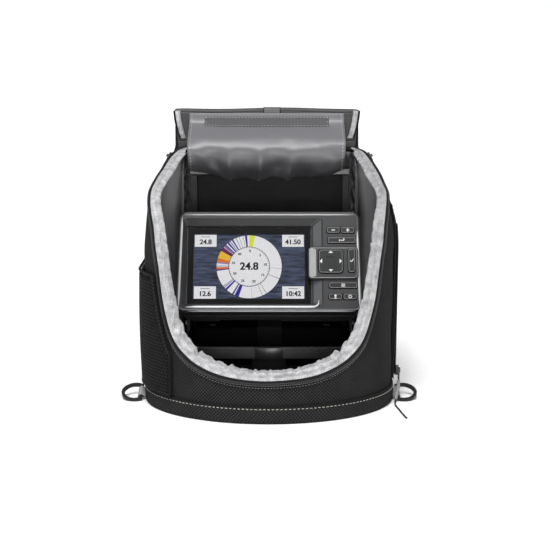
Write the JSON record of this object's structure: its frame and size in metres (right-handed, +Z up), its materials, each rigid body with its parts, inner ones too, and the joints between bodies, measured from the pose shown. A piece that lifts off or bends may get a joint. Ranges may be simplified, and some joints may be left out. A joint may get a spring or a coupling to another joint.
{
  "type": "portable fish finder",
  "caption": "Ice-fishing sonar display on a tilt and swivel mount, with its battery carrier, inside a soft bag whose lid is folded back.",
  "frame": {"origin": "centre of the bag's flat bottom", "axes": "+Z up, -Y out of the bag's mouth and out of the display's face, +X to the side with the keys"},
  "size_m": [0.2826, 0.2135, 0.2674],
  "materials": {
    "bag_fabric": "woven coated polyester, satin",
    "boot": "moulded, matt",
    "lining": "smooth coated taffeta",
    "facing": "puckered light binding",
    "board": "extruded sheet",
    "zip": "woven tape with moulded coil",
    "zip_metal": "black, semi gloss",
    "mesh": "open knitted net",
    "sleeve": "braided",
    "cord": "braided",
    "webbing": "woven tape",
    "lid_fabric": "woven coated polyester",
    "flap_fabric": "thin satin lining",
    "carrier_plastic": "moulded, fine grain",
    "screw_steel": "blackened",
    "battery_plastic": "moulded",
    "terminal_brass": "plated",
    "mount_plastic": "glass filled, matt",
    "knob_rubber": "overmoulded",
    "bezel_plastic": "satin",
    "housing_plastic": "fine grain",
    "lens": "coated",
    "lcd": "lit screen",
    "key_rubber": "soft touch",
    "circuit": "solder mask",
    "seal": "foam",
    "ring_plastic": "moulded"
  },
  "bodies": {
    "root": {"base_boot": "boot", "bag_front": "bag_fabric", "bag_shell": "bag_fabric", "bag_lining": "lining", "base_board": "board", "zip_tape": "zip", "opening_facing": "facing", "back_pad": "lining", "mesh_pocket": "mesh", "side_pocket": "bag_fabric", "side_zip_tape": "zip", "main_zip_sliders": "zip_metal", "carrier_base": "carrier_plastic", "front_rail": "carrier_plastic", "mount_shelf": "carrier_plastic", "tower_beams": "carrier_plastic", "carrier_side_left": "carrier_plastic", "carrier_side_right": "carrier_plastic", "carrier_screws": "screw_steel", "battery_case": "battery_plastic", "battery_lid": "battery_plastic", "battery_terminals": "terminal_brass", "battery_strap": "webbing", "mount_base": "mount_plastic", "swivel_bolt": "screw_steel", "ring_tabs": "webbing"},
    "swivel": {"mount_yoke": "mount_plastic", "tilt_pin": "screw_steel"},
    "tilt_knob": {"tilt_knob": "knob_rubber"},
    "display": {"front_bezel": "bezel_plastic", "lens_glass": "lens", "lcd_panel": "lcd", "keypad_membrane": "key_rubber", "main_board": "circuit", "housing_gasket": "seal", "rear_housing": "housing_plastic", "housing_screws": "screw_steel", "rear_sockets": "housing_plastic", "tilt_cradle": "mount_plastic"},
    "side_zip": {"side_zip_slider": "zip_metal", "side_zip_bail": "zip_metal", "pull_sleeve": "sleeve", "pull_cord": "cord"},
    "ring_left": {"strap_ring_left": "ring_plastic"},
    "ring_right": {"strap_ring_right": "ring_plastic"},
    "lid_root": {"lid_root": "lid_fabric", "lid_pull_tab": "webbing"},
    "lid_top": {"lid_top": "lid_fabric"},
    "lid_front": {"lid_front": "lid_fabric"},
    "flap": {"rear_flap": "flap_fabric", "flap_hook_strip": "webbing"},
    "pad_gimbal": {"arrow_pad_gimbal": "key_rubber"},
    "key_arrow_pad": {"key_arrow_pad": "key_rubber"},
    "key_zoom_out": {"key_zoom_out": "key_rubber"},
    "key_zoom_in": {"key_zoom_in": "key_rubber"},
    "key_back": {"key_back": "key_rubber"},
    "key_select": {"key_select": "key_rubber"},
    "key_menu": {"key_menu": "key_rubber"},
    "key_mark": {"key_mark": "key_rubber"},
    "key_home": {"key_home": "key_rubber"}
  },
  "joints": [
    {"name": "swivel_turn", "type": "hinge", "parent": "root", "child": "swivel", "pos_m": [0, 0.066, 0.067], "axis": [0, 0, 1], "range_deg": [-3, 3]},
    {"name": "display_tilt", "type": "hinge", "parent": "swivel", "child": "display", "pos_m": [0, 0.05346, 0.10016], "axis": [1, 0, 0], "range_deg": [-5, 10]},
    {"name": "knob_turn", "type": "hinge", "parent": "swivel", "child": "tilt_knob", "pos_m": [0.0315, 0.05346, 0.10016], "axis": [1, 0, 0], "range_deg": [-180, 180]},
    {"name": "side_zip_slide", "type": "slide", "parent": "root", "child": "side_zip", "axis": [0, 0, 1], "range_m": [0, 0.12]},
    {"name": "ring_left_swing", "type": "hinge", "parent": "root", "child": "ring_left", "pos_m": [-0.1223, -0.031, 0.0054], "axis": [0, 0.9397, 0.342], "range_deg": [0, 55]},
    {"name": "ring_right_swing", "type": "hinge", "parent": "root", "child": "ring_right", "pos_m": [0.1223, -0.031, 0.0054], "axis": [0, 0.9397, 0.342], "range_deg": [-55, 0]},
    {"name": "lid_close", "type": "hinge", "parent": "root", "child": "lid_root", "pos_m": [0, 0.098, 0.2305], "axis": [1, 0, 0], "range_deg": [0, 90]},
    {"name": "lid_unfold", "type": "hinge", "parent": "lid_root", "child": "lid_top", "pos_m": [0, 0.1015, 0.2655], "axis": [1, 0, 0], "range_deg": [0, 175.5]},
    {"name": "lid_front_drop", "type": "hinge", "parent": "lid_top", "child": "lid_front", "pos_m": [0, 0.1055, 0.148], "axis": [1, 0, 0], "range_deg": [0, 76.5]},
    {"name": "flap_swing", "type": "hinge", "parent": "lid_root", "child": "flap", "pos_m": [0, 0.0946, 0.262], "axis": [1, 0, 0], "range_deg": [-110, 0]},
    {"name": "pad_rock_up_down", "type": "hinge", "parent": "display", "child": "pad_gimbal", "pos_m": [0.0591, 0.00658, 0.1227], "axis": [1, 0, 0], "range_deg": [-2, 2], "stiffness_Nm_per_rad": 0.05},
    {"name": "pad_rock_left_right", "type": "hinge", "parent": "pad_gimbal", "child": "key_arrow_pad", "pos_m": [0.0591, 0.00623, 0.12288], "axis": [0, 0.454, 0.891], "range_deg": [-2, 2], "stiffness_Nm_per_rad": 0.05},
    {"name": "key_zoom_out_press", "type": "slide", "parent": "display", "child": "key_zoom_out", "axis": [0, 0.891, -0.454], "range_m": [0, 0.0008], "stiffness_N_per_m": 800},
    {"name": "key_zoom_in_press", "type": "slide", "parent": "display", "child": "key_zoom_in", "axis": [0, 0.891, -0.454], "range_m": [0, 0.0008], "stiffness_N_per_m": 800},
    {"name": "key_back_press", "type": "slide", "parent": "display", "child": "key_back", "axis": [0, 0.891, -0.454], "range_m": [0, 0.0008], "stiffness_N_per_m": 800},
    {"name": "key_select_press", "type": "slide", "parent": "display", "child": "key_select", "axis": [0, 0.891, -0.454], "range_m": [0, 0.0008], "stiffness_N_per_m": 800},
    {"name": "key_menu_press", "type": "slide", "parent": "display", "child": "key_menu", "axis": [0, 0.891, -0.454], "range_m": [0, 0.0008], "stiffness_N_per_m": 800},
    {"name": "key_mark_press", "type": "slide", "parent": "display", "child": "key_mark", "axis": [0, 0.891, -0.454], "range_m": [0, 0.0008], "stiffness_N_per_m": 800},
    {"name": "key_home_press", "type": "slide", "parent": "display", "child": "key_home", "axis": [0, 0.891, -0.454], "range_m": [0, 0.0008], "stiffness_N_per_m": 800}
  ],
  "couplings": [
    {"joint": "lid_unfold", "follows": "lid_close", "ratio": 1.95},
    {"joint": "lid_front_drop", "follows": "lid_close", "ratio": 0.85},
    {"joint": "flap_swing", "follows": "lid_close", "ratio": -1.2222}
  ]
}
